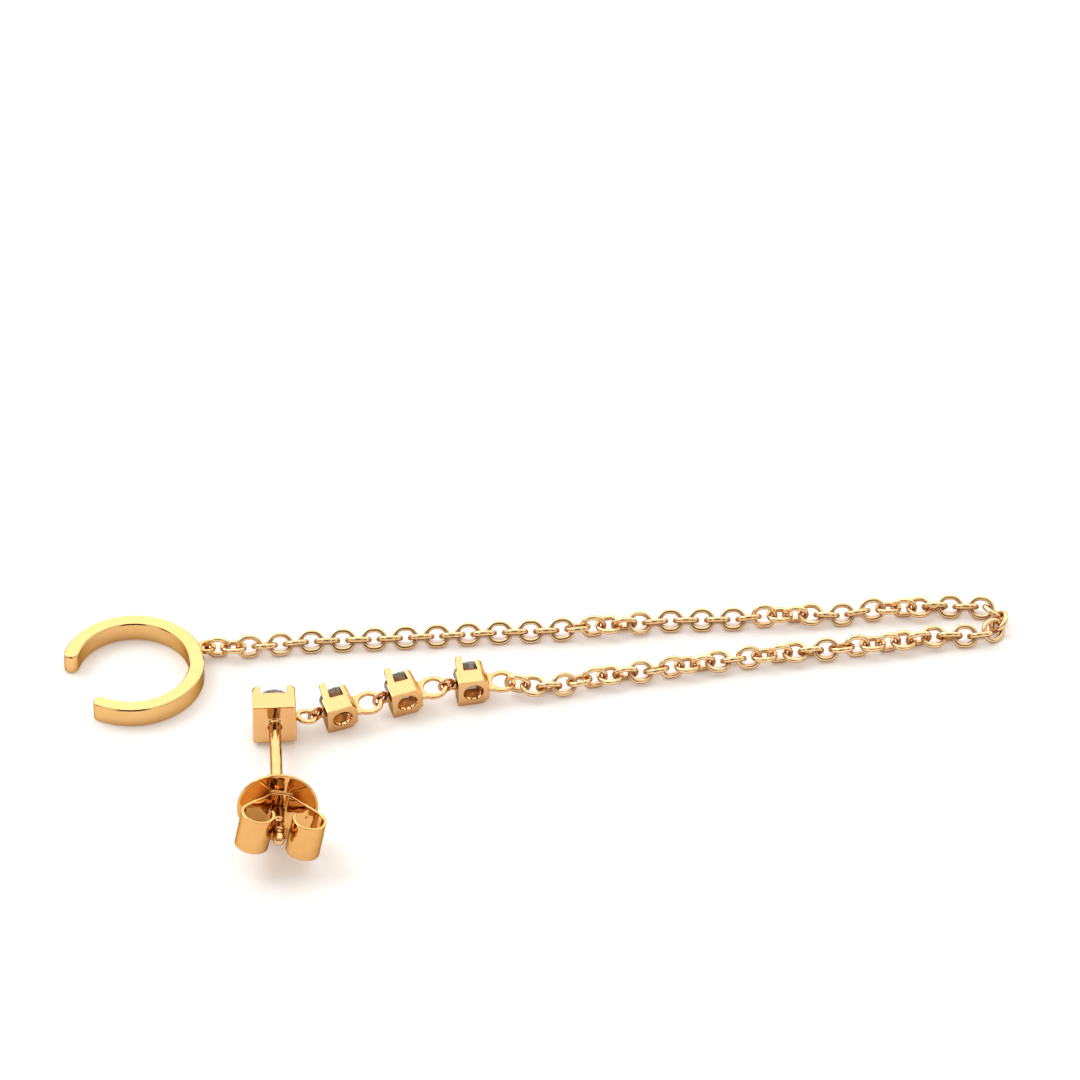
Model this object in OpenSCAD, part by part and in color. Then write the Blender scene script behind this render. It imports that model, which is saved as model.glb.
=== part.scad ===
// Ear chain earring: an open ear cuff joined by a long cable chain to a stud with
// three small stone-set drops in a row and a butterfly clutch on its post.
// It lies on its side on a surface at z = 0, in millimetres, with +Z up.

/* [Ear cuff] */
// Inner diameter of the open band
cuff_inner_d = 7.4; // [6.5:0.1:9]
// Radial thickness of the band
cuff_wall = 0.95; // [0.7:0.05:1.4]
// Width of the band along the cuff's axis, which stands up from the surface
cuff_band = 1.4; // [1.2:0.1:2.5]
// Opening between the tips of the two rounded ends, as an angle at the centre
cuff_opening = 62; // [40:1:90]
// Bevel along every edge of the band
cuff_bevel = 0.08; // [0.04:0.01:0.15]

/* [Stud] */
// Width of the square stud setting
stud_w = 2.8; // [2.5:0.05:3.2]
// Height of the stud's long walls above its closed base
stud_wall_h = 1.65; // [1.6:0.05:2]
// Reach of the stud's corner prongs from its base
stud_prong_h = 2.45; // [2.4:0.05:2.8]
// Diameter of the stud's round stone
stud_stone_d = 2.5; // [2.2:0.05:2.6]
// Thickness of the stud's base plate
stud_plate = 0.4; // [0.3:0.05:0.6]
// Diameter of the ear post
post_d = 0.78; // [0.74:0.02:1]
// Length of the ear post from the base to its rounded tip
post_l = 12.5; // [12:0.1:14]

/* [Drops] */
// Width of each square drop setting
drop_w = 2.05; // [2:0.05:2.6]
// Height of a drop's long walls above its base
drop_wall_h = 1.2; // [1.1:0.05:1.3]
// Reach of a drop's two long prongs, on the side of the small loop
drop_prong_h = 2.6; // [2.3:0.05:2.7]
// Reach of a drop's two short prongs, on the side of the large loop
drop_short_h = 2.05; // [2:0.05:2.3]
// Diameter of a drop's round stone
drop_stone_d = 2.05; // [1.9:0.05:2.3]
// Width of each corner prong of a drop
drop_prong_w = 0.46; // [0.4:0.02:0.52]
// Lean of a drop's prongs over its stone, in degrees
drop_prong_lean = 5; // [0:0.5:6]
// Cut across a drop's two corners on the side of the large loop
drop_corner_cut = 0.4; // [0.2:0.05:0.45]
// Thickness of a drop's base plate
drop_plate = 0.35; // [0.25:0.05:0.5]
// Diameter of the round hole in a drop's base
drop_hole_d = 1.3; // [1:0.05:1.4]

/* [Settings] */
// Thickness of the walls of every setting
basket_wall = 0.3; // [0.2:0.05:0.4]
// Width of each corner prong of the stud
prong_w = 0.52; // [0.45:0.02:0.6]
// Gap between a stone and the metal that holds it
stone_gap = 0.03; // [0.02:0.01:0.05]

/* [Loops and rings] */
// Wire thickness of the large soldered loops
loop_wire = 0.34; // [0.26:0.02:0.36]
// Thickness to which the stud's and the drops' large loops are pressed flat
loop_t = 0.26; // [0.2:0.02:0.3]
// Outer diameter of the large loop on the right of each drop
loop_d = 1.94; // [1.8:0.02:2]
// Distance from a drop's wall to the centre of its large loop
loop_reach = 0.94; // [0.9:0.02:1.1]
// Outer diameter of the loop on the stud
stud_loop_d = 1.5; // [1.4:0.05:1.8]
// Outer diameter of the loop on the cuff
cuff_loop_d = 1.24; // [1.2:0.02:1.4]
// Wire thickness of the small loop on the left of each drop
eye_wire = 0.22; // [0.2:0.01:0.26]
// Outer diameter of the small loop on the left of each drop
eye_d = 0.86; // [0.84:0.02:1]
// Distance by which the small loop stands out of the drop's wall
eye_out = 0.6; // [0.6:0.01:0.7]
// Wire thickness of the jump rings
ring_wire = 0.22; // [0.2:0.01:0.22]
// Gap between a jump ring and the loops that it joins
join_gap = 0.04; // [0.03:0.01:0.05]
// Depth to which a soldered loop sinks into the metal that it sits on
solder_depth = 0.06; // [0.04:0.01:0.1]
// Length along a drop's wall of the flat root of its large loop
root_l = 1.6; // [1.4:0.05:1.6]

/* [Chain] */
// Outer length of one oval link
link_l = 1.74; // [1.66:0.02:2]
// Outer width of one oval link
link_w = 1.54; // [1.4:0.02:1.6]
// Wire thickness of a link
link_wire = 0.27; // [0.24:0.01:0.3]
// Least gap between two linked rings
link_gap = 0.16; // [0.12:0.01:0.18]

/* [Clutch] */
// Diameter of the clutch's round plate
clutch_d = 5.2; // [4.6:0.1:6]
// Thickness of the clutch's round plate
clutch_plate = 0.25; // [0.2:0.01:0.35]
// Width of the curled strip
strip_w = 2.55; // [2:0.05:3]
// Thickness of the curled strip
strip_t = 0.2; // [0.16:0.01:0.26]
// Outer diameter of each curl
curl_d = 2.2; // [2:0.05:2.4]
// Extra reach of the right-hand curl away from the post
curl_spread = 0.25; // [0:0.05:0.3]
// Distance of the curls' centres from the plate's near face
curl_reach = 2.66; // [2.5:0.02:3]
// Free post between the stud's base and the clutch's plate
lobe_gap = 8.6; // [7.5:0.1:8.8]
// Gap between the post and the clutch that grips it
grip_gap = 0.03; // [0.02:0.01:0.06]

/* [Hidden] */
$fn = 48;
gold = "goldenrod";
stone = "lightcyan";

// Places on the surface, seen from above: x to the right, y away from the viewer
cuff_xy = [-26.37, 5.92];
cuff_loop_turn = 24.7;
stud_xy = [-16.94, -0.36];
stud_yaw = 2.9;
// One row for each drop: heading of its jump ring, yaw of its base, lean of its base
// to the left, and dip of its base to the front
DROPS = [
    [38, 18.5, 3.5, 6],
    [33, 18, 4, 4],
    [20, 11, -0.5, 2]];
HEADING = 0;
YAW = 1;
LEAN = 2;
DIP = 3;

// Height of the loops' centres on the settings, from the setting's base
loop_h = 0.76;
eye_h = 0.98;
stud_loop_h = 0.95;
side_wall_h = stud_loop_h + loop_wire / 2;
// Height of the first drop's small loop over its own middle, which the stud's loop meets
first_eye_rise = 0.176;
// Roll of the whole clutch about the post, as it was pushed on
clutch_roll = -12;
// Fillet of solder where the post meets the base, and the grooves in the post
collar_r = 0.56;
collar_h = 0.36;
groove_depth = 0.15;
groove_w = 0.5;
groove_from_tip = 0.9;
groove_pitch = 1.1;

loop_rc = (loop_d - loop_wire) / 2;
stud_loop_rc = (stud_loop_d - loop_wire) / 2;
cuff_loop_rc = (cuff_loop_d - loop_wire) / 2;
eye_rc = (eye_d - eye_wire) / 2;
ring_d = 2 * ring_wire + loop_wire + eye_wire + 4 * join_gap;
ring_rc = (ring_d - ring_wire) / 2;
post_r = post_d / 2;
cuff_ri = cuff_inner_d / 2;
cuff_ro = cuff_ri + cuff_wall;

// Round brilliant cut, as shares of the stone's diameter
table_share = 0.56;
crown_share = 0.15;
girdle_share = 0.04;
pavilion_share = 0.43;
star_share = 0.76;
star_rise = 0.62;
cut_sides = 8;
stud_girdle_h = stud_wall_h + 0.55;
drop_girdle_h = drop_wall_h + 0.75;

// Turning and shifting, as matrices, so that pieces and points are placed alike
function shift(v) = [[1, 0, 0, v.x], [0, 1, 0, v.y], [0, 0, 1, v.z], [0, 0, 0, 1]];
function turn_x(a) = [[1, 0, 0, 0], [0, cos(a), -sin(a), 0], [0, sin(a), cos(a), 0], [0, 0, 0, 1]];
function turn_y(a) = [[cos(a), 0, sin(a), 0], [0, 1, 0, 0], [-sin(a), 0, cos(a), 0], [0, 0, 0, 1]];
function turn_z(a) = [[cos(a), -sin(a), 0, 0], [sin(a), cos(a), 0, 0], [0, 0, 1, 0], [0, 0, 0, 1]];
function place(m, p) = let (q = m * [p.x, p.y, p.z, 1]) [q.x, q.y, q.z];
// Frame at p whose x axis runs along v, rolled about it
function along(p, v, roll) =
    shift(p) * turn_z(atan2(v.y, v.x)) * turn_y(-atan2(v.z, norm([v.x, v.y]))) * turn_x(roll);

// The stud leans on its prongs and on the clutch plate's rim
plate_r = clutch_d / 2;
stud_half = stud_w / 2;
stud_tilt = atan((plate_r - stud_half) / (stud_prong_h + lobe_gap));
stud_z = stud_prong_h * sin(stud_tilt) + stud_half * cos(stud_tilt);
STUD = shift([stud_xy.x, stud_xy.y, stud_z]) * turn_z(stud_yaw) * turn_x(-stud_tilt);
stud_loop_x = stud_loop_d / 2 - solder_depth;
// Slope of the stud's loop, down from the stud's middle to the lower first drop
stud_loop_droop = asin((stud_half - drop_w / 2 - first_eye_rise) / (stud_loop_x + stud_loop_rc));
STUD_LOOP = shift([stud_half, stud_loop_h, 0]) * turn_y(stud_loop_droop) * shift([stud_loop_x, 0, 0]);

// Each drop hangs on the piece before it: loop, jump ring, small loop
drop_half = drop_w / 2;
drop_loop_x = drop_half + loop_reach;
drop_eye_x = drop_half + eye_out - eye_d / 2;
// Distance between the two wires that a jump ring holds together
ring_hold = (loop_wire + eye_wire) / 2 + 2 * join_gap;

function drop_turn(k) = turn_z(DROPS[k][YAW]) * turn_x(DROPS[k][DIP]) * turn_y(-DROPS[k][LEAN]);
function drop_rest_z(k) =
    -min([for (x = [-drop_half, drop_half], y = [0, drop_prong_h]) place(drop_turn(k), [x, y, -drop_half]).z]);
// The large loop that drop k hangs on, with its x axis away from the setting
function loop_frame(k) = k == 0 ? STUD * STUD_LOOP : drop_frame(k - 1) * shift([drop_loop_x, loop_h, 0]);
function loop_yaw(k) = k == 0 ? stud_yaw : DROPS[k - 1][YAW];
// Where the jump ring holds that loop's wire, and the small loop's in the drop's own frame
function loop_rim(k) =
    let (turn = DROPS[k][HEADING] - loop_yaw(k), rc = k == 0 ? stud_loop_rc : loop_rc)
    place(loop_frame(k), rc * [cos(turn), sin(turn), 0]);
function eye_rim(k) =
    let (turn = DROPS[k][HEADING] - DROPS[k][YAW])
    [-drop_eye_x - eye_rc * cos(turn), eye_h - eye_rc * sin(turn), 0];
function drop_frame(k) =
    let (
        from = loop_rim(k),
        eye = place(drop_turn(k), eye_rim(k)),
        rise = drop_rest_z(k) + eye.z - from.z,
        run = sqrt(ring_hold ^ 2 - rise ^ 2),
        heading = DROPS[k][HEADING])
    shift(from + [run * cos(heading), run * sin(heading), rise] - eye) * drop_turn(k);

// The chain's route in plan, between the cuff's loop and the last drop's loop
ROUTE = [
    [-19.2, 8.14], [-15.1, 8.79], [-10.9, 9.04], [-6.8, 9.34], [-2.6, 9.69],
    [1.5, 9.94], [5.7, 10.39], [8.5, 10.84], [12.6, 10.99], [16.8, 11.29],
    [19.6, 11.39], [22.4, 11.89], [24.4, 11.94], [26.5, 12.19], [28.2, 12.25],
    [29.5, 12.15], [30.32, 11.45], [30.32, 10.3], [29.5, 9.55], [28.2, 9.35],
    [26.2, 9.2], [23.5, 8.64], [18.6, 7.89], [13.6, 7.09], [8.6, 6.14],
    [3.6, 5.14], [0.5, 4.24]];
// Share of the chain's length, and twist that its links have gathered there
TWIST = [
    [0, 45], [0.05, 0], [0.27, 0], [0.33, 90], [0.41, 90], [0.47, 180], [0.5, 180],
    [0.56, 270], [0.65, 270], [1, 540]];
route_steps = 8;
lift_fade = 2.6;
chain_lay = 45;
// Stretch over which the last links turn to meet the last loop edge on
CLOSING = [0.75, 0.99];
link_rc = (link_w - link_wire) / 2;
link_straight = link_l - link_w;
slack_pitch = link_l - 2 * link_wire - link_gap;
loop_hook = loop_rc - (loop_wire + link_gap) / 2;
cuff_hook = cuff_loop_rc - (loop_wire + link_gap) / 2;

cuff_loop_x = cuff_ro + cuff_loop_d / 2 - solder_depth;
cuff_loop_z = link_w / 2;
CUFF = shift([cuff_xy.x, cuff_xy.y, 0]) * turn_z(cuff_loop_turn);
// Point inside a loop where a chain that runs on to a stop pulls on it
function hook_point(frame, yaw, reach, stop) =
    let (centre = place(frame, [0, 0, 0]), turn = atan2(stop.y - centre.y, stop.x - centre.x) - yaw)
    place(frame, reach * [cos(turn), sin(turn), 0]);
chain_from = hook_point(CUFF * shift([cuff_loop_x, 0, cuff_loop_z]), cuff_loop_turn, cuff_hook, ROUTE[0]);
chain_to = hook_point(loop_frame(len(DROPS)), loop_yaw(len(DROPS)), loop_hook, ROUTE[len(ROUTE) - 1]);

stops = concat([[chain_from.x, chain_from.y]], ROUTE, [[chain_to.x, chain_to.y]]);
function stop_at(i) = stops[max(0, min(len(stops) - 1, i))];
function bend(a, b, c, d, t) =
    0.5 * (2 * b + (c - a) * t + (2 * a - 5 * b + 4 * c - d) * t * t + (3 * b - a - 3 * c + d) * t * t * t);
track = concat(
    [for (i = [0:len(stops) - 2], j = [0:route_steps - 1])
        bend(stop_at(i - 1), stop_at(i), stop_at(i + 1), stop_at(i + 2), j / route_steps)],
    [stops[len(stops) - 1]]);
run_to = [for (i = 0, s = 0; i < len(track);
    s = s + (i + 1 < len(track) ? norm(track[i + 1] - track[i]) : 0), i = i + 1) s];
chain_l = run_to[len(track) - 1];
track_x = [for (i = [0:len(track) - 1]) [run_to[i], track[i].x]];
track_y = [for (i = [0:len(track) - 1]) [run_to[i], track[i].y]];
link_count = ceil(chain_l / slack_pitch);
pitch = chain_l / link_count;
closing_turn = link_count % 2 == 0 ? 135 : 45;

function twist(share) =
    lookup(share, TWIST) + lookup(share, [[CLOSING[0], 0], [CLOSING[1], closing_turn]]);
function rest_height(share) =
    link_wire / 2 + link_rc * max(abs(sin(chain_lay + twist(share))), abs(cos(chain_lay + twist(share))));
// Joint i lies between links i - 1 and i, high enough for both
function joint(i) =
    let (
        s = i * pitch,
        near_start = max(0, 1 - s / lift_fade),
        near_end = max(0, 1 - (chain_l - s) / lift_fade),
        rest = max(rest_height((i - 0.5) / link_count), rest_height((i + 0.5) / link_count)),
        z = rest
            + near_start * (chain_from.z - rest_height(0))
            + near_end * (chain_to.z - rest_height(1)))
    [lookup(s, track_x), lookup(s, track_y), z];

// Ring of round wire in the xy plane, for a soldered loop or a jump ring
module wire_ring(rc, wire) {
    rotate_extrude() translate([rc, 0]) circle(d = wire);
}

// Ring of wire in the xy plane, pressed flat above and below
module flat_ring(rc) {
    half_w = loop_wire / 2;
    half_t = loop_t / 2;
    bevel = loop_t / 4;
    rotate_extrude() translate([rc, 0]) polygon([
        [-half_w, bevel - half_t], [bevel - half_w, -half_t], [half_w - bevel, -half_t],
        [half_w, bevel - half_t], [half_w, half_t - bevel], [half_w - bevel, half_t],
        [bevel - half_w, half_t], [-half_w, half_t - bevel]]);
}

// Oval link in the xy plane, long in x
module oval_link() {
    for (side = [-1, 1]) {
        translate([side * link_straight / 2, 0, 0]) rotate(-90 * side)
            rotate_extrude(angle = 180) translate([link_rc, 0]) circle(d = link_wire);
        translate([-link_straight / 2, side * link_rc, 0]) rotate([0, 90, 0])
            cylinder(h = link_straight, d = link_wire);
    }
}

// Section of the cuff's band from its middle line out to one side
module half_band(half) {
    polygon([
        [0, 0], [half - cuff_bevel, 0], [half, cuff_bevel],
        [half, cuff_band - cuff_bevel], [half - cuff_bevel, cuff_band], [0, cuff_band]]);
}

module ear_cuff() {
    mid = cuff_ri + cuff_wall / 2;
    end_turn = asin(cuff_wall / 2 / mid);
    // The rounded ends reach back into the band by this turn
    lap = 20;
    body_turn = 360 - cuff_opening - 2 * end_turn;
    color(gold) multmatrix(CUFF) {
        rotate(-body_turn / 2) rotate_extrude(angle = body_turn) translate([mid, 0]) {
            half_band(cuff_wall / 2);
            mirror([1, 0]) half_band(cuff_wall / 2);
        }
        for (side = [-1, 1])
            rotate(side * body_turn / 2) translate([mid, 0, 0]) rotate((side > 0 ? 0 : 180) - lap)
                rotate_extrude(angle = 180 + 2 * lap) half_band(cuff_wall / 2);
        translate([cuff_loop_x, 0, cuff_loop_z]) wire_ring(cuff_loop_rc, loop_wire);
    }
}

module cable_chain() {
    color(gold) for (i = [0:link_count - 1])
        let (a = joint(i), b = joint(i + 1), share = (i + 0.5) / link_count)
        multmatrix(along((a + b) / 2, b - a, chain_lay + 90 * i + twist(share)))
            oval_link();
}

// Space for a round stone and its gap, with the stone's girdle at z = 0
module stone_space(d) {
    r = d / 2 + stone_gap;
    belt = girdle_share * d / 2 + stone_gap;
    rotate_extrude() polygon([
        [0, -pavilion_share * d - 2 * stone_gap - belt], [r, -belt], [r, belt],
        [table_share * d / 2 + stone_gap, crown_share * d + 2 * stone_gap + belt],
        [0, crown_share * d + 2 * stone_gap + belt]]);
}

// Square basket on its base in the xy plane: high walls at +y and -y, low walls at the
// sides where the loops sit, corner prongs of two heights, and room for the stone
module basket(w, wall_h, left_h, right_h, plate, stone_d, girdle_h, corner_cut, prong, lean, filed) {
    half = w / 2;
    corner = half * sqrt(2);
    prong_h = max(left_h, right_h);
    difference() {
        intersection() {
            union() {
                translate([-half, -half, 0]) cube([w, w, plate]);
                for (side = [-1, 1]) {
                    translate([-half, side * (half - basket_wall / 2) - basket_wall / 2, 0])
                        cube([w, basket_wall, wall_h]);
                    translate([side * (half - basket_wall / 2) - basket_wall / 2, -half, 0])
                        cube([basket_wall, w, side_wall_h]);
                    translate([-half, side * (half - prong / 2) - prong / 2, 0])
                        rotate([0, lean, 0]) cube([prong, prong, left_h]);
                    translate([half, side * (half - prong / 2) - prong / 2, 0])
                        rotate([0, -lean, 0]) translate([-prong, 0, 0]) cube([prong, prong, right_h]);
                }
            }
            linear_extrude(prong_h) polygon([
                [-half, -half], [half - corner_cut, -half], [half, -half + corner_cut],
                [half, half - corner_cut], [half - corner_cut, half], [-half, half]]);
            // The outer corners of the prongs are filed in towards the stone above the walls
            cylinder(h = prong_h, r1 = corner + filed * wall_h / (prong_h - wall_h), r2 = corner - filed);
        }
        translate([0, 0, girdle_h]) stone_space(stone_d);
    }
}

// Round brilliant with its girdle at z = 0 and its table up
module brilliant(d) {
    r = d / 2;
    belt = girdle_share * r;
    step = 360 / cut_sides;
    function ring(radius, z, turn) =
        [for (k = [0:cut_sides - 1]) [radius * cos(step * (k + turn)), radius * sin(step * (k + turn)), z]];
    // Rings from the table down to the culet
    points = concat(
        ring(table_share * r, belt + crown_share * d, 0),
        ring(star_share * r, belt + crown_share * d * star_rise, 0.5),
        ring(r, belt, 0), ring(r, belt, 0.5),
        ring(r, -belt, 0), ring(r, -belt, 0.5),
        [[0, 0, -belt - pavilion_share * d]]);
    n = cut_sides;
    culet = 6 * n;
    function at(ring_index, k) = ring_index * n + (k + n) % n;
    faces = concat(
        [[for (k = [n - 1:-1:0]) k]],
        [for (k = [0:n - 1]) each [
            [at(0, k), at(0, k + 1), at(1, k)],
            [at(0, k), at(1, k), at(2, k)],
            [at(0, k), at(2, k), at(1, k - 1)],
            [at(1, k), at(3, k), at(2, k)],
            [at(1, k), at(2, k + 1), at(3, k)],
            [at(2, k), at(3, k), at(5, k), at(4, k)],
            [at(3, k), at(2, k + 1), at(4, k + 1), at(5, k)],
            [at(4, k), at(5, k), culet],
            [at(5, k), at(4, k + 1), culet]]]);
    polyhedron(points, faces, convexity = 2);
}

// From a setting's own frame, base down, to the lying one, base to the front
module lay_down() {
    rotate([-90, 0, 0]) children();
}

// Ear post along +z with two friction grooves near its rounded tip
module ear_post() {
    tip_groove = post_l - groove_from_tip;
    waist_r = post_r - groove_depth;
    rotate_extrude() polygon([
        [0, -stud_plate / 2], [collar_r, -stud_plate / 2], [collar_r, 0],
        [(3 * post_r + collar_r) / 4, collar_h / 3], [post_r, collar_h],
        for (at = [tip_groove - groove_pitch, tip_groove], end = [-1, 1]) each [
            [end < 0 ? post_r : waist_r, at + (end < 0 ? -groove_w / 2 : groove_w / 4)],
            [end < 0 ? waist_r : post_r, at + (end < 0 ? -groove_w / 4 : groove_w / 2)]],
        [post_r, post_l - post_r], [post_r * 0.8, post_l - post_r * 0.4],
        [post_r * 0.4, post_l], [0, post_l]]);
}

module stud_setting() {
    color(gold) multmatrix(STUD) {
        lay_down() basket(stud_w, stud_wall_h, stud_prong_h, stud_prong_h, stud_plate, stud_stone_d,
            stud_girdle_h, prong_w / 5, prong_w, 0, prong_w / 3);
        rotate([90, 0, 0]) ear_post();
        multmatrix(STUD_LOOP) flat_ring(stud_loop_rc);
    }
}

module stud_stone() {
    color(stone) multmatrix(STUD) lay_down() translate([0, 0, stud_girdle_h]) brilliant(stud_stone_d);
}

module drop_setting(k) {
    root_t = 0.9 * loop_t;
    color(gold) multmatrix(drop_frame(k)) {
        lay_down() difference() {
            basket(drop_w, drop_wall_h, drop_prong_h, drop_short_h, drop_plate, drop_stone_d,
                drop_girdle_h, drop_corner_cut, drop_prong_w, drop_prong_lean, drop_prong_w / 2);
            translate([0, 0, -drop_plate]) cylinder(h = 3 * drop_plate, d = drop_hole_d);
        }
        translate([drop_loop_x, loop_h, 0]) flat_ring(loop_rc);
        translate([0, 0, -root_t / 2]) linear_extrude(root_t) difference() {
            polygon([
                [drop_half - solder_depth, drop_plate / 4], [drop_half - solder_depth, root_l],
                [drop_loop_x, loop_h + loop_rc], [drop_loop_x, loop_h - loop_rc]]);
            translate([drop_loop_x, loop_h]) circle(r = loop_rc);
        }
        translate([-drop_eye_x, eye_h, 0]) wire_ring(eye_rc, eye_wire);
    }
}

module drop_stone(k) {
    color(stone) multmatrix(drop_frame(k)) lay_down()
        translate([0, 0, drop_girdle_h]) brilliant(drop_stone_d);
}

// Upright jump ring between drop k's small loop and the large loop before it
module jump_ring(k) {
    from = loop_rim(k);
    way = place(drop_frame(k), eye_rim(k)) - from;
    heading = DROPS[k][HEADING];
    centre = from + way * (eye_wire / 2 + join_gap) / ring_hold;
    color(gold) multmatrix(along(centre, [cos(heading), sin(heading), 0], 90))
        wire_ring(ring_rc, ring_wire);
}

// One half of the curled strip, on the +x side, in the plane of x and the post's axis z
module curl(spread) {
    root = [post_r + strip_t, clutch_plate + strip_t / 2];
    rc = (curl_d - strip_t) / 2;
    centre = [post_r + grip_gap + spread + curl_d / 2, curl_reach];
    way = centre - root;
    lean = atan2(way.y, way.x) - asin(rc / norm(way));
    wing = sqrt(way * way - rc * rc);
    curl_end = 205;
    rotate([90, 0, 0]) {
        translate([0, clutch_plate, -strip_w / 2]) cube([root.x, strip_t, strip_w]);
        translate([root.x, root.y, 0]) rotate(lean)
            translate([0, -strip_t / 2, -strip_w / 2]) cube([wing + strip_t / 4, strip_t, strip_w]);
        translate([root.x, root.y, -strip_w / 2]) cylinder(h = strip_w, d = strip_t);
        translate([centre.x, centre.y, -strip_w / 2]) rotate(lean - 90)
            rotate_extrude(angle = curl_end - lean + 90)
                translate([rc - strip_t / 2, 0]) square([strip_t, strip_w]);
    }
}

module clutch() {
    rim = clutch_plate / 4;
    color(gold) multmatrix(STUD) rotate([90, 0, 0]) translate([0, 0, lobe_gap]) rotate(clutch_roll)
        difference() {
            union() {
                rotate_extrude() polygon([
                    [0, 0], [plate_r - rim, 0], [plate_r, rim], [plate_r, clutch_plate - rim],
                    [plate_r - rim, clutch_plate], [0, clutch_plate]]);
                curl(curl_spread);
                mirror([1, 0, 0]) curl(0);
            }
            translate([0, 0, -clutch_plate])
                cylinder(h = 4 * clutch_plate, d = post_d + 2 * grip_gap);
        }
}

ear_cuff();
cable_chain();
stud_setting();
stud_stone();
clutch();
for (k = [0:len(DROPS) - 1]) {
    drop_setting(k);
    drop_stone(k);
    jump_ring(k);
}
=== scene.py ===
"""Looks of an ear chain earring: polished gold, small round stones, white tent light.

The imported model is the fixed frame. Every metal piece and stone keeps its place there;
this file gives each one its finish, melts the edges and solder joints of the cast pieces,
bends the chain's links anew, and sets up the pale floor, the light and the camera.
"""

import logging
import math
from dataclasses import dataclass, field
from enum import Enum

import bpy
import numpy as np
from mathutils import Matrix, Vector


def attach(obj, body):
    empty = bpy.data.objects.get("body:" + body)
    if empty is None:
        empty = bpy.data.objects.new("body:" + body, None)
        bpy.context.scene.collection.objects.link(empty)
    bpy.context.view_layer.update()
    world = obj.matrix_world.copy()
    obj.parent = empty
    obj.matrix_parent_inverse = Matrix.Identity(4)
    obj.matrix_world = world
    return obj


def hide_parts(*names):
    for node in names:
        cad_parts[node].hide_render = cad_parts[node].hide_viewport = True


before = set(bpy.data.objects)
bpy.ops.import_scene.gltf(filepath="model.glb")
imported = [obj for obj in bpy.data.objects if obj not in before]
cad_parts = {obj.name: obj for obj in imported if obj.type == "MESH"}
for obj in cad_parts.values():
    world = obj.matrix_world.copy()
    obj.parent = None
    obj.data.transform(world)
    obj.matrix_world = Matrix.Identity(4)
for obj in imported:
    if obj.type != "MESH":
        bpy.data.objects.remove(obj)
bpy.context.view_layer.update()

MM = 0.001

# Rays that the bevel and the painted shade in recesses use at each point
SHADING_SAMPLES = 6
# Noise stays mostly between these values
NOISE_LOW = 0.3
NOISE_HIGH = 0.7
# Numbers of the Mix node's colour sockets, whose names it also gives to its other ones
MIX_FACTOR = 0
MIX_FIRST = 6
MIX_SECOND = 7
MIX_RESULT = 2

Colour = tuple[float, float, float]
OpaqueColour = tuple[float, float, float, float]

log = logging.getLogger("ear_chain_earring")


class Slot(Enum):
    """Material slots of the record."""

    GOLD = "gold"
    CHAIN_GOLD = "chain_gold"
    CLUTCH_GOLD = "clutch_gold"
    STONE = "stone"


def opaque(colour: Colour) -> OpaqueColour:
    """A colour with full cover, as shader sockets take it."""
    return (*colour, 1.0)


def grey(level: float) -> OpaqueColour:
    """An even grey, or white, of a given level."""
    return opaque((level, level, level))


def add_object(name: str, data: bpy.types.ID) -> bpy.types.Object:
    """Makes an object of its data and links it to the scene."""
    made = bpy.data.objects.new(name, data)
    bpy.context.scene.collection.objects.link(made)
    return made


class Signal:
    """A shader socket that can be added, subtracted and multiplied like a number."""

    def __init__(self, bench: "ShaderBench", socket: bpy.types.NodeSocket | None) -> None:
        """Wraps an output socket of the bench's node tree."""
        self.bench = bench
        self.socket = socket

    def _math(self, operation: str, first: "Signal | float", second: "Signal | float") -> "Signal":
        """Adds a Math node for two operands, each a Signal or a number."""
        return self.bench.node("ShaderNodeMath", {"operation": operation}, {0: first, 1: second})

    def __add__(self, other: "Signal | float") -> "Signal":
        """Sum with a Signal or a number."""
        return self._math("ADD", self, other)

    def __radd__(self, other: float) -> "Signal":
        """Sum with a number on the left."""
        return self._math("ADD", other, self)

    def __sub__(self, other: "Signal | float") -> "Signal":
        """Difference with a Signal or a number."""
        return self._math("SUBTRACT", self, other)

    def __rsub__(self, other: float) -> "Signal":
        """Difference from a number on the left."""
        return self._math("SUBTRACT", other, self)

    def __mul__(self, other: "Signal | float") -> "Signal":
        """Product with a Signal or a number."""
        return self._math("MULTIPLY", self, other)

    def __rmul__(self, other: float) -> "Signal":
        """Product with a number on the left."""
        return self._math("MULTIPLY", other, self)


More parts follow.
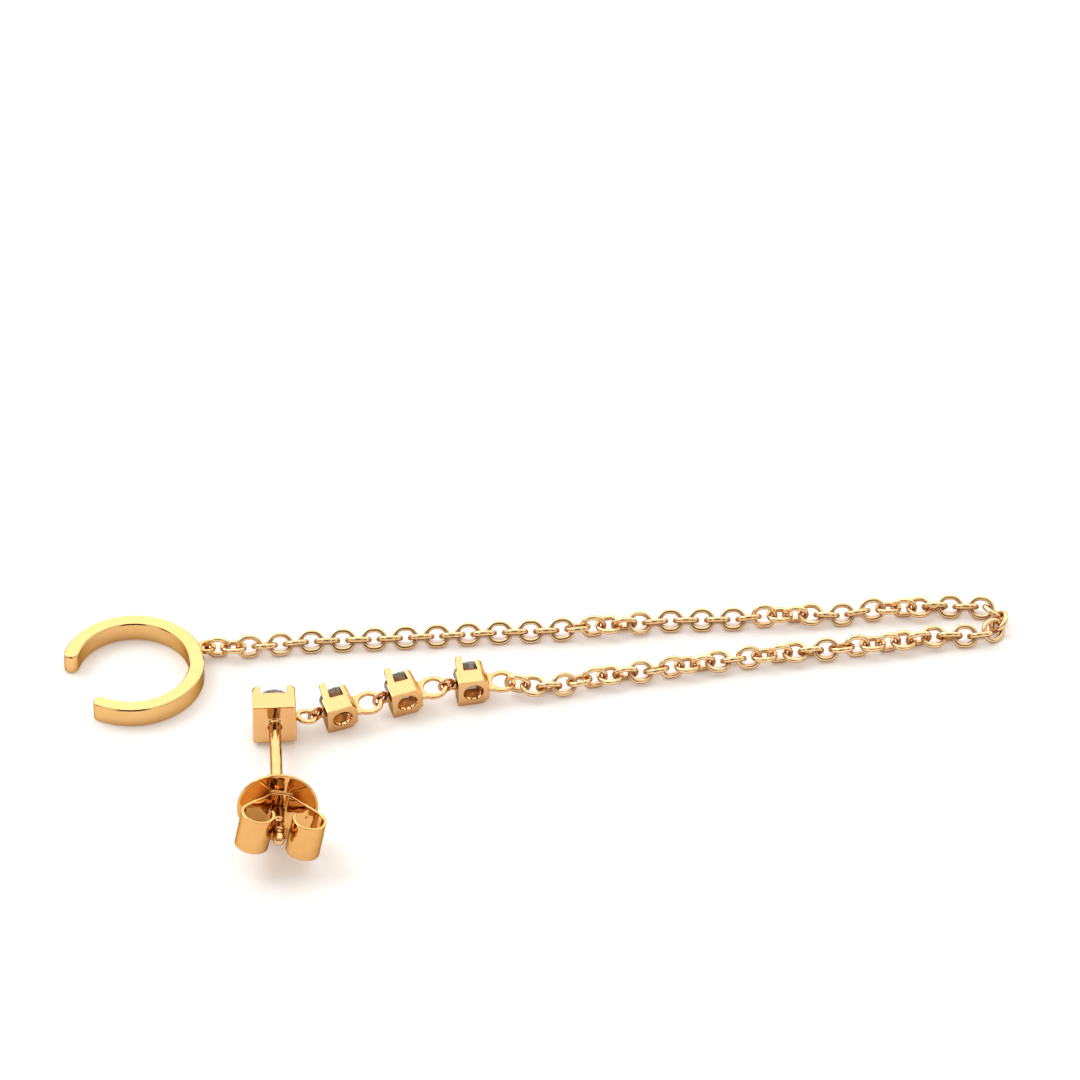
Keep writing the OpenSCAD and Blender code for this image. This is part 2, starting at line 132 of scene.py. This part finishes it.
class ShaderBench:
    """Builds one node tree out of generic nodes and Signals."""

    def __init__(self, owner: bpy.types.Material | bpy.types.World) -> None:
        """Starts with an empty tree of a material or a world."""
        owner.use_nodes = True
        self.tree = owner.node_tree
        self.tree.nodes.clear()

    def node(self, kind: str, settings: dict | None = None, inputs: dict | None = None,
             output: int | str = 0) -> Signal:
        """Adds any node.

        Args:
            kind: Blender's type name of the node.
            settings: Values set on the node first.
            inputs: Values or Signals for its sockets, by name or number.
            output: Name or number of the socket to return.

        Returns:
            The chosen output as a Signal, which is empty for a node without outputs.
        """
        made = self.tree.nodes.new(kind)
        for name, value in (settings or {}).items():
            setattr(made, name, value)
        for name, value in (inputs or {}).items():
            if isinstance(value, Signal):
                self.tree.links.new(value.socket, made.inputs[name])
            else:
                made.inputs[name].default_value = value
        return Signal(self, made.outputs[output] if made.outputs else None)

    def ease(self, signal: Signal, start: float, end: float, low: float = 0.0,
             high: float = 1.0) -> Signal:
        """Turns a Signal into a soft step.

        Args:
            signal: The value that varies.
            start: Its value where the step begins, which may lie above the end.
            end: Its value where the step is over.
            low: Result before the step.
            high: Result after it.

        Returns:
            The stepped Signal.
        """
        return self.node("ShaderNodeMapRange", {"interpolation_type": "SMOOTHSTEP"}, {
            "Value": signal, "From Min": start, "From Max": end, "To Min": low, "To Max": high})

    def spread(self, noise: Signal, low: float, high: float) -> Signal:
        """Stretches the values that a noise mostly takes over a range."""
        return self.ease(noise, NOISE_LOW, NOISE_HIGH, low, high)

    def blend(self, amount: Signal, first: Signal | OpaqueColour,
              second: Signal | OpaqueColour) -> Signal:
        """Mixes two colours by a Signal between 0 and 1."""
        return self.node("ShaderNodeMix", {"data_type": "RGBA"},
                         {MIX_FACTOR: amount, MIX_FIRST: first, MIX_SECOND: second}, MIX_RESULT)

    def noise(self, place: Signal, per_mm: float, detail: float = 2.0) -> Signal:
        """Soft noise with a given number of blotches a millimetre."""
        return self.node("ShaderNodeTexNoise", None,
                         {"Vector": place, "Scale": per_mm / MM, "Detail": detail})

    def surface(self, inputs: dict) -> None:
        """Ends a material's tree with a Principled shader of the given inputs."""
        shader = self.node("ShaderNodeBsdfPrincipled", None, inputs)
        self.node("ShaderNodeOutputMaterial", None, {"Surface": shader})


@dataclass(frozen=True)
class GoldFinish:
    """Polished gold alloy with faint buffing marks, cloudy variation and painted shade that darkens
    recesses and places next to the floor to brown.
    """

    name: str
    slot: Slot
    colour: Colour
    worn_colour: Colour
    edge_tint: Colour = (0.42, 0.36, 0.26)
    edge_radius: float = 0.03
    roughness: float = 0.05
    cloud_roughness: float = 0.09
    clouds_per_mm: float = 0.9
    cloud_detail: float = 3.0
    buff_per_mm: float = 9.0
    buff_detail: float = 4.0
    buff_stretch: float = 0.25
    buff_roughness: float = 0.02
    buff_depth: float = 0.0006
    dent_per_mm: float = 0.9
    dent_detail: float = 1.0
    dent_depth: float = 0.012
    # Painted shade of hemmed-in places: its colour, how far the occlusion looks, and where the darkening
    # starts and is full
    painted_shade_colour: Colour = (0.46, 0.18, 0.04)
    painted_shade_reach: float = 1.1
    painted_shade_from: float = 0.22
    painted_shade_to: float = 0.75
    recess_roughness: float = 0.25

    def make(self) -> bpy.types.Material:
        """Builds the material.

        Returns:
            The finished gold.
        """
        material = bpy.data.materials.new(self.name)
        bench = ShaderBench(material)
        place = bench.node("ShaderNodeTexCoord", None, None, "Object")
        clouds = bench.noise(place, self.clouds_per_mm, self.cloud_detail)
        along = bench.node("ShaderNodeMapping", None,
                           {"Vector": place, "Scale": (1.0, self.buff_stretch, 1.0)})
        buffing = bench.noise(along, self.buff_per_mm, self.buff_detail)
        dents = bench.noise(place, self.dent_per_mm, self.dent_detail)
        polish = bench.blend(bench.spread(clouds, 0.0, 1.0), opaque(self.colour),
                             opaque(self.worn_colour))
        # Painted shade: ambient occlusion darkens the colour towards a deep brown in recesses, between
        # parts and next to the floor, and roughens it there
        open_sky = bench.node("ShaderNodeAmbientOcclusion", {"samples": SHADING_SAMPLES},
                              {"Distance": self.painted_shade_reach * MM}, "AO")
        unshaded = bench.ease(open_sky, self.painted_shade_from, self.painted_shade_to)
        colour = bench.blend(unshaded, opaque(self.painted_shade_colour), polish)
        cloudy = bench.spread(clouds, self.roughness, self.cloud_roughness)
        rough = cloudy + buffing * self.buff_roughness + (1 - unshaded) * self.recess_roughness
        height = buffing * (self.buff_depth * MM) + dents * (self.dent_depth * MM)
        relief = {"Strength": 1.0, "Distance": 1.0, "Height": height}
        if self.edge_radius:
            relief["Normal"] = bench.node("ShaderNodeBevel", {"samples": SHADING_SAMPLES},
                                          {"Radius": self.edge_radius * MM})
        normal = bench.node("ShaderNodeBump", None, relief)
        bench.surface({"Base Color": colour, "Metallic": 1.0, "Roughness": rough, "Normal": normal,
                       "Specular Tint": opaque(self.edge_tint)})
        return material


@dataclass(frozen=True)
class StoneFinish:
    """Partly clear cut stone with a green-grey body colour and, at its point, a painted brown reflection of
    the gold around it.
    """

    name: str = "clear_stone"
    slot: Slot = Slot.STONE
    colour: Colour = (0.86, 0.89, 0.78)
    shade_colour: Colour = (0.62, 0.65, 0.54)
    sparkle_per_mm: float = 3.0
    sparkle_detail: float = 3.0
    haze_per_mm: float = 1.5
    roughness: float = 0.02
    haze_roughness: float = 0.05
    clearness: float = 0.8
    refraction: float = 2.3
    # Painted brown reflection of gold at the stone's point, and how wide and how high that patch reaches
    painted_point_reflection: Colour = (0.42, 0.13, 0.025)
    point_radius: float = 0.42
    point_height: float = 0.48
    point_roughness: float = 0.4
    full_radius_share: float = 0.85
    full_height_share: float = 0.8

    def make(self) -> bpy.types.Material:
        """Builds the material.

        Returns:
            The finished stone.
        """
        material = bpy.data.materials.new(self.name)
        bench = ShaderBench(material)
        place = bench.node("ShaderNodeTexCoord", None, None, "Object")
        haze = bench.noise(place, self.haze_per_mm)
        point = self._point(bench)
        sparkle = bench.spread(bench.noise(place, self.sparkle_per_mm, self.sparkle_detail), 0.0, 1.0)
        body = bench.blend(sparkle, opaque(self.shade_colour), opaque(self.colour))
        # Painted reflection: the point takes the brown of the gold seen through the stone
        colour = bench.blend(point, body, opaque(self.painted_point_reflection))
        rough = bench.spread(haze, self.roughness, self.haze_roughness) + point * self.point_roughness
        bench.surface({"Base Color": colour, "Roughness": rough, "IOR": self.refraction,
                       "Transmission Weight": self.clearness})
        return material

    def _point(self, bench: ShaderBench) -> Signal:
        """Marks the stone's point, which the hole in a setting's base shows and where the gold's brown
        reflection is painted.

        Args:
            bench: Bench of the stone's material.

        Returns:
            A Signal that is 1 at the point and 0 at the girdle and above.
        """
        share = bench.node("ShaderNodeTexCoord", None, None, "Generated")
        # Shares of the stone's box run from 0 to 1. Its axis lies roughly along Y, from the point
        # upwards, and passes near half of X and of Z
        from_axis = bench.node("ShaderNodeVectorMath", {"operation": "MULTIPLY_ADD"},
                               {0: share, 1: (1.0, 0.0, 1.0), 2: (-0.5, 0.0, -0.5)})
        radius = bench.node("ShaderNodeVectorMath", {"operation": "LENGTH"}, {0: from_axis}, "Value")
        height = bench.node("ShaderNodeSeparateXYZ", None, {"Vector": share}, "Y")
        near_axis = bench.ease(radius, self.point_radius, self.full_radius_share * self.point_radius)
        low_down = bench.ease(height, self.point_height, self.full_height_share * self.point_height)
        return near_axis * low_down


# Each gold's recess colour is the painted shade of its hollows and of the places next to the floor
GOLD = GoldFinish("polished_gold", Slot.GOLD, (0.83, 0.51, 0.205), (0.81, 0.49, 0.190))
CAST_GOLD = GoldFinish("hand_polished_gold", Slot.GOLD, (0.79, 0.465, 0.205), (0.77, 0.445, 0.190),
                       edge_radius=0.0)
CHAIN_GOLD = GoldFinish("chain_gold_polish", Slot.CHAIN_GOLD, (0.84, 0.585, 0.31), (0.82, 0.54, 0.27),
                        edge_radius=0.0, roughness=0.10, cloud_roughness=0.17, dent_per_mm=1.6,
                        painted_shade_colour=(0.50, 0.22, 0.09))
RING_GOLD = GoldFinish("ring_gold_polish", Slot.CHAIN_GOLD, (0.82, 0.47, 0.27), (0.76, 0.40, 0.21),
                       edge_radius=0.0, painted_shade_colour=(0.42, 0.14, 0.05))
# The clutch is the same gold as the cast pieces, set a little deeper and darker to paint in the shade
# between its curls; its recesses take a deeper painted shade as well
CLUTCH_GOLD = GoldFinish("clutch_gold_painted_shade", Slot.CLUTCH_GOLD, (0.75, 0.415, 0.150), (0.73, 0.395, 0.135),
                         edge_radius=0.0, roughness=0.03, cloud_roughness=0.05, dent_depth=0.006,
                         painted_shade_colour=(0.36, 0.08, 0.015), painted_shade_to=0.65)
STONE = StoneFinish()


@dataclass
class Workshop:
    """Makes each finish once and puts it on pieces."""

    mark_depth: float = 0.045
    mark_size: float = 0.9
    polish_factor: float = 0.5
    made: dict[str, bpy.types.Material] = field(default_factory=dict)
    marks: bpy.types.Texture | None = None

    def _hand_marks(self) -> bpy.types.Texture:
        """The soft waves that filing and polishing by hand leave, made once."""
        if self.marks is None:
            self.marks = bpy.data.textures.new("hand_marks", "CLOUDS")
            self.marks.noise_scale = self.mark_size * MM
            self.marks.noise_depth = 1
        return self.marks

    def material(self, finish: GoldFinish | StoneFinish) -> bpy.types.Material:
        """The material of a finish, made the first time it is asked for."""
        if finish.name not in self.made:
            self.made[finish.name] = finish.make()
        return self.made[finish.name]

    def dress_node(self, node: str, finish: GoldFinish | StoneFinish) -> None:
        """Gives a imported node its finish.

        Args:
            node: Name of the node in the frame.
            finish: Its finish.
        """
        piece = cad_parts[node]
        for place in piece.material_slots:
            place.material = self.material(finish)
        log.info("%s dressed in %s", node, finish.name)

    def recast(self, node: str, name: str, finish: GoldFinish, grain: float, passes: int,
               body: str = "root") -> None:
        """Replaces a node by a copy with melted edges and filled solder joints.

        Args:
            node: Name of the node in the frame.
            name: Name of the new piece.
            finish: Its finish.
            grain: Size of the new mesh's squares, in millimetres.
            passes: Smoothing passes; each rounds the edges a little more.
            body: Body that the piece rides on.
        """
        piece = add_object(name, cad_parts[node].data.copy())
        melt = piece.modifiers.new("melt", "REMESH")
        melt.mode = "VOXEL"
        melt.voxel_size = grain * MM
        swell = piece.modifiers.new("swell", "DISPLACE")
        swell.texture = self._hand_marks()
        swell.strength = self.mark_depth * MM
        swell.texture_coords = "LOCAL"
        polish = piece.modifiers.new("polish", "SMOOTH")
        polish.factor = self.polish_factor
        polish.iterations = passes
        graph = bpy.context.evaluated_depsgraph_get()
        shaped = bpy.data.meshes.new_from_object(piece.evaluated_get(graph))
        piece.modifiers.clear()
        piece.data = shaped
        self.finish_piece(piece, finish, body)
        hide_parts(node)

    def finish_piece(self, piece: bpy.types.Object, finish: GoldFinish, body: str = "root") -> None:
        """Smooths and dresses a new piece and seats it on its body.

        Args:
            piece: The new piece.
            finish: Its finish.
            body: Body that it rides on.
        """
        piece.data.materials.clear()
        piece.data.materials.append(self.material(finish))
        piece.data.shade_smooth()
        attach(piece, body)
        log.info("%s made with %d faces", piece.name, len(piece.data.polygons))


@dataclass
class EarCuff:
    """Open band for the outer ear with a soldered loop for the chain."""

    node: str = "ear_cuff"
    finish: GoldFinish = GOLD

    def dress(self, shop: Workshop) -> None:
        """Puts the polish on the band."""
        shop.dress_node(self.node, self.finish)


@dataclass
class CableChain:
    """Long cable chain of oval links, each a closed bend of slightly flat-sided wire.

    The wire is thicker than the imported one. Of that growth, outward_share widens a link and the
    rest narrows its hole. Its ends move out by the whole growth and by end_shift, in millimetres,
    which draws them in where it is below 0.
    """

    node: str = "cable_chain"
    finish: GoldFinish = CHAIN_GOLD
    wire: float = 0.33
    flatness: float = 2.5
    end_shift: float = -0.013
    bend_steps: int = 18
    wire_sides: int = 14
    outward_share: float = 0.5
    same_place: float = 0.001

    def dress(self, shop: Workshop) -> None:
        """Replaces the plain links by finely bent ones in the same places.

        Args:
            shop: Workshop that makes the finish.
        """
        corners, owners = self._loose_links()
        points: list[np.ndarray] = []
        faces: list[np.ndarray] = []
        for owner in range(owners.max() + 1):
            link, quads = self._bent_link(corners[owners == owner])
            faces.append(quads + sum(len(part) for part in points))
            points.append(link)
        mesh = bpy.data.meshes.new("chain_links")
        mesh.from_pydata(np.vstack(points).tolist(), [], np.vstack(faces).tolist())
        piece = add_object("chain_links", mesh)
        shop.finish_piece(piece, self.finish)
        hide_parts(self.node)

    def _loose_links(self) -> tuple[np.ndarray, np.ndarray]:
        """Tells the node's separate links apart.

        Returns:
            The node's corners, and for each the number of the link that it belongs to.
        """
        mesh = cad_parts[self.node].data
        corners = np.empty(len(mesh.vertices) * 3)
        mesh.vertices.foreach_get("co", corners)
        corners = corners.reshape(-1, 3)
        edges = np.empty(len(mesh.edges) * 2, dtype=int)
        mesh.edges.foreach_get("vertices", edges)
        # Corners that lie in one place count as one
        cells = np.round(corners / (self.same_place * MM)).astype(int)
        _, same = np.unique(cells, axis=0, return_inverse=True)
        same = same.reshape(-1)
        near = same[edges.reshape(-1, 2)]
        # Each corner takes the lowest label among its neighbours until nothing changes
        label = np.arange(same.max() + 1)
        while True:
            least = np.minimum(label[near[:, 0]], label[near[:, 1]])
            lower = label.copy()
            np.minimum.at(lower, near[:, 0], least)
            np.minimum.at(lower, near[:, 1], least)
            lower = lower[lower]
            if np.array_equal(lower, label):
                break
            label = lower
        _, owners = np.unique(label[same], return_inverse=True)
        return corners, owners.reshape(-1)

    def _bent_link(self, corners: np.ndarray) -> tuple[np.ndarray, np.ndarray]:
        """Bends one link in the place of a plain one.

        Args:
            corners: Corners of the plain link.

        Returns:
            The new link's points and its four-sided faces.
        """
        low, high = corners.min(axis=0), corners.max(axis=0)
        middle = (low + high) / 2
        spread = corners - corners.mean(axis=0)
        _, axes = np.linalg.eigh(spread.T @ spread)
        up, across, along = axes.T
        local = (corners - middle) @ np.column_stack([along, across])
        shift = (local.max(axis=0) + local.min(axis=0)) / 2
        middle = middle + shift[0] * along + shift[1] * across
        length, width = local.max(axis=0) - local.min(axis=0)
        plain_wire = np.ptp((corners - middle) @ up)
        grown = (self.wire * MM - plain_wire) / 2
        radius = self.wire * MM / 2
        bend = width / 2 + grown * self.outward_share - radius
        straight = length / 2 + grown + self.end_shift * MM - radius - bend
        route = self._oval(bend, max(straight, 0.0))
        return self._wire_along(route, radius, middle, along, across, up)

    def _oval(self, bend: float, straight: float) -> np.ndarray:
        """Centre line of a link: two half circles joined by straight runs."""
        turn = np.linspace(-np.pi / 2, np.pi / 2, self.bend_steps)
        right = np.column_stack([straight + bend * np.cos(turn), bend * np.sin(turn)])
        return np.vstack([right, -right])

    def _wire_along(self, route: np.ndarray, radius: float, middle: np.ndarray, along: np.ndarray,
                    across: np.ndarray, up: np.ndarray) -> tuple[np.ndarray, np.ndarray]:
        """Sweeps the wire's section along a closed centre line.

        Args:
            route: Points of the centre line in the link's own plane.
            radius: Radius of the wire.
            middle: Centre of the link.
            along: Direction of the link's length.
            across: Direction of its width.
            up: Normal of its plane.

        Returns:
            The points of the swept wire and its faces.
        """
        count = len(route)
        way = np.roll(route, -1, axis=0) - np.roll(route, 1, axis=0)
        out = np.column_stack([way[:, 1], -way[:, 0]])
        out /= np.linalg.norm(out, axis=1)[:, None]
        angle = np.linspace(0, 2 * np.pi, self.wire_sides, endpoint=False)
        power = 2 / self.flatness
        side = radius * np.sign(np.cos(angle)) * np.abs(np.cos(angle)) ** power
        rise = radius * np.sign(np.sin(angle)) * np.abs(np.sin(angle)) ** power
        flat = route[:, None, :] + out[:, None, :] * side[None, :, None]
        points = middle + flat[..., :1] * along + flat[..., 1:] * across + rise[None, :, None] * up
        step = np.arange(count)[:, None] * self.wire_sides
        ahead = np.roll(np.arange(count), -1)[:, None] * self.wire_sides
        round_it = np.arange(self.wire_sides)[None, :]
        beside = np.roll(np.arange(self.wire_sides), -1)[None, :]
        faces = np.stack([step + round_it, step + beside, ahead + beside, ahead + round_it], axis=-1)
        if np.dot(np.cross(along, across), up) > 0:
            faces = faces[..., ::-1]
        return points.reshape(-1, 3), faces.reshape(-1, 4)


@dataclass
class Stud:
    """Square stud setting with its ear post, loop and stone."""

    setting: str = "stud_setting"
    stone: str = "stud_stone"
    grain: float = 0.035
    passes: int = 14

    def dress(self, shop: Workshop) -> None:
        """Recasts the setting with soft edges and puts the finish on the stone."""
        shop.recast(self.setting, "stud_casting", CAST_GOLD, self.grain, self.passes)
        shop.dress_node(self.stone, STONE)


@dataclass
class DropRow:
    """Three small stone-set drops on jump rings."""

    count: int = 3
    grain: float = 0.03
    passes: int = 14

    def dress(self, shop: Workshop) -> None:
        """Recasts every drop's setting and puts the finishes on its stone and ring."""
        for k in range(1, self.count + 1):
            shop.recast(f"drop_setting_{k}", f"drop_casting_{k}", CAST_GOLD, self.grain, self.passes)
            shop.dress_node(f"drop_stone_{k}", STONE)
            shop.dress_node(f"jump_ring_{k}", RING_GOLD)


@dataclass
class Clutch:
    """Butterfly clutch that slides on the post."""

    node: str = "clutch"
    grain: float = 0.044
    passes: int = 4

    def dress(self, shop: Workshop) -> None:
        """Recasts the clutch with rolled strip edges, on its own sliding body."""
        shop.recast(self.node, "clutch_strip_and_plate", CLUTCH_GOLD, self.grain, self.passes, "clutch")


@dataclass(frozen=True)
class Glow:
    """Soft patch of light or shade on the tent, round one direction, its edges in degrees."""

    towards: tuple[float, float, float]
    inner: float
    outer: float
    level: float


@dataclass
class Studio:
    """Pale floor and soft white tent light with dark openings at the front."""

    floor_half: float = 1500.0
    floor_shade: Colour = (0.66, 0.67, 0.68)
    floor_light: Colour = (0.27, 0.21, 0.15)
    floor_roughness: float = 0.6
    floor_gloss: float = 0.2
    side_light: float = 0.9
    glows: tuple[Glow, ...] = (
        Glow((0.0, 0.88, 0.47), 50.0, 72.0, 1.95),
        Glow((-0.60, 0.28, 0.74), 8.0, 22.0, 6.0),
        Glow((0.0, -0.749, 0.663), 14.0, 24.0, 0.05),
        Glow((0.75, -0.55, 0.35), 10.0, 20.0, 0.1),
        Glow((-0.8, -0.45, 0.4), 10.0, 20.0, 0.1))

    def build(self) -> None:
        """Makes the floor and the tent."""
        self._floor()
        self._tent()
        log.info("studio built")

    def _floor(self) -> None:
        """Adds the pale floor that the piece lies on."""
        half = self.floor_half * MM
        mesh = bpy.data.meshes.new("floor")
        corners = [(-half, -half, 0.0), (half, -half, 0.0), (half, half, 0.0), (-half, half, 0.0)]
        mesh.from_pydata(corners, [], [(0, 1, 2, 3)])
        floor = add_object("floor", mesh)
        material = bpy.data.materials.new("pale_floor")
        ShaderBench(material).surface({
            "Base Color": opaque(self.floor_shade), "Roughness": self.floor_roughness,
            "Specular IOR Level": self.floor_gloss,
            "Emission Color": opaque(self.floor_light), "Emission Strength": 1.0})
        mesh.materials.append(material)

    def _tent(self) -> None:
        """Paints the tent's light patches and dark openings over its plain sides."""
        world = bpy.data.worlds.new("tent")
        bpy.context.scene.world = world
        bench = ShaderBench(world)
        way = bench.node("ShaderNodeTexCoord", None, None, "Generated")
        light: Signal | OpaqueColour = grey(self.side_light)
        for glow in self.glows:
            facing = bench.node("ShaderNodeVectorMath", {"operation": "DOT_PRODUCT"},
                                {0: way, 1: Vector(glow.towards).normalized()}, "Value")
            cover = bench.ease(facing, math.cos(math.radians(glow.outer)),
                               math.cos(math.radians(glow.inner)))
            light = bench.blend(cover, light, grey(glow.level))
        shine = bench.node("ShaderNodeBackground", None, {"Color": light, "Strength": 1.0})
        bench.node("ShaderNodeOutputWorld", None, {"Surface": shine})


@dataclass
class PhotoCamera:
    """Camera at the photograph's angle to the piece."""

    aim: tuple[float, float, float] = (0.18, 19.54, 0.0)
    distance: float = 500.0
    elevation: float = 41.5
    lens: float = 250.0
    sensor: float = 36.0

    def build(self) -> None:
        """Places the camera and makes it the scene's own."""
        data = bpy.data.cameras.new("photo_camera")
        data.lens = self.lens
        data.sensor_width = self.sensor
        camera = add_object("photo_camera", data)
        rise = math.radians(self.elevation)
        aim = Vector(self.aim) * MM
        away = Vector((0.0, -math.cos(rise), math.sin(rise)))
        camera.location = aim + away * (self.distance * MM)
        camera.rotation_euler = away.to_track_quat("Z", "Y").to_euler()
        bpy.context.scene.camera = camera
        log.info("camera placed")


def set_view() -> None:
    """Shows the light as a camera with plain contrast would."""
    view = bpy.context.scene.view_settings
    view.view_transform = "Standard"
    view.look = "None"
    view.exposure = 0.0
    view.gamma = 1.0


def main() -> None:
    """Builds and dresses the earring piece by piece."""
    logging.basicConfig(level=logging.INFO, format="%(name)s: %(message)s")
    PhotoCamera().build()
    Studio().build()
    shop = Workshop()
    for piece in (EarCuff(), CableChain(), Stud(), DropRow(), Clutch()):
        piece.dress(shop)
    set_view()


if __name__ == "__main__":
    main()
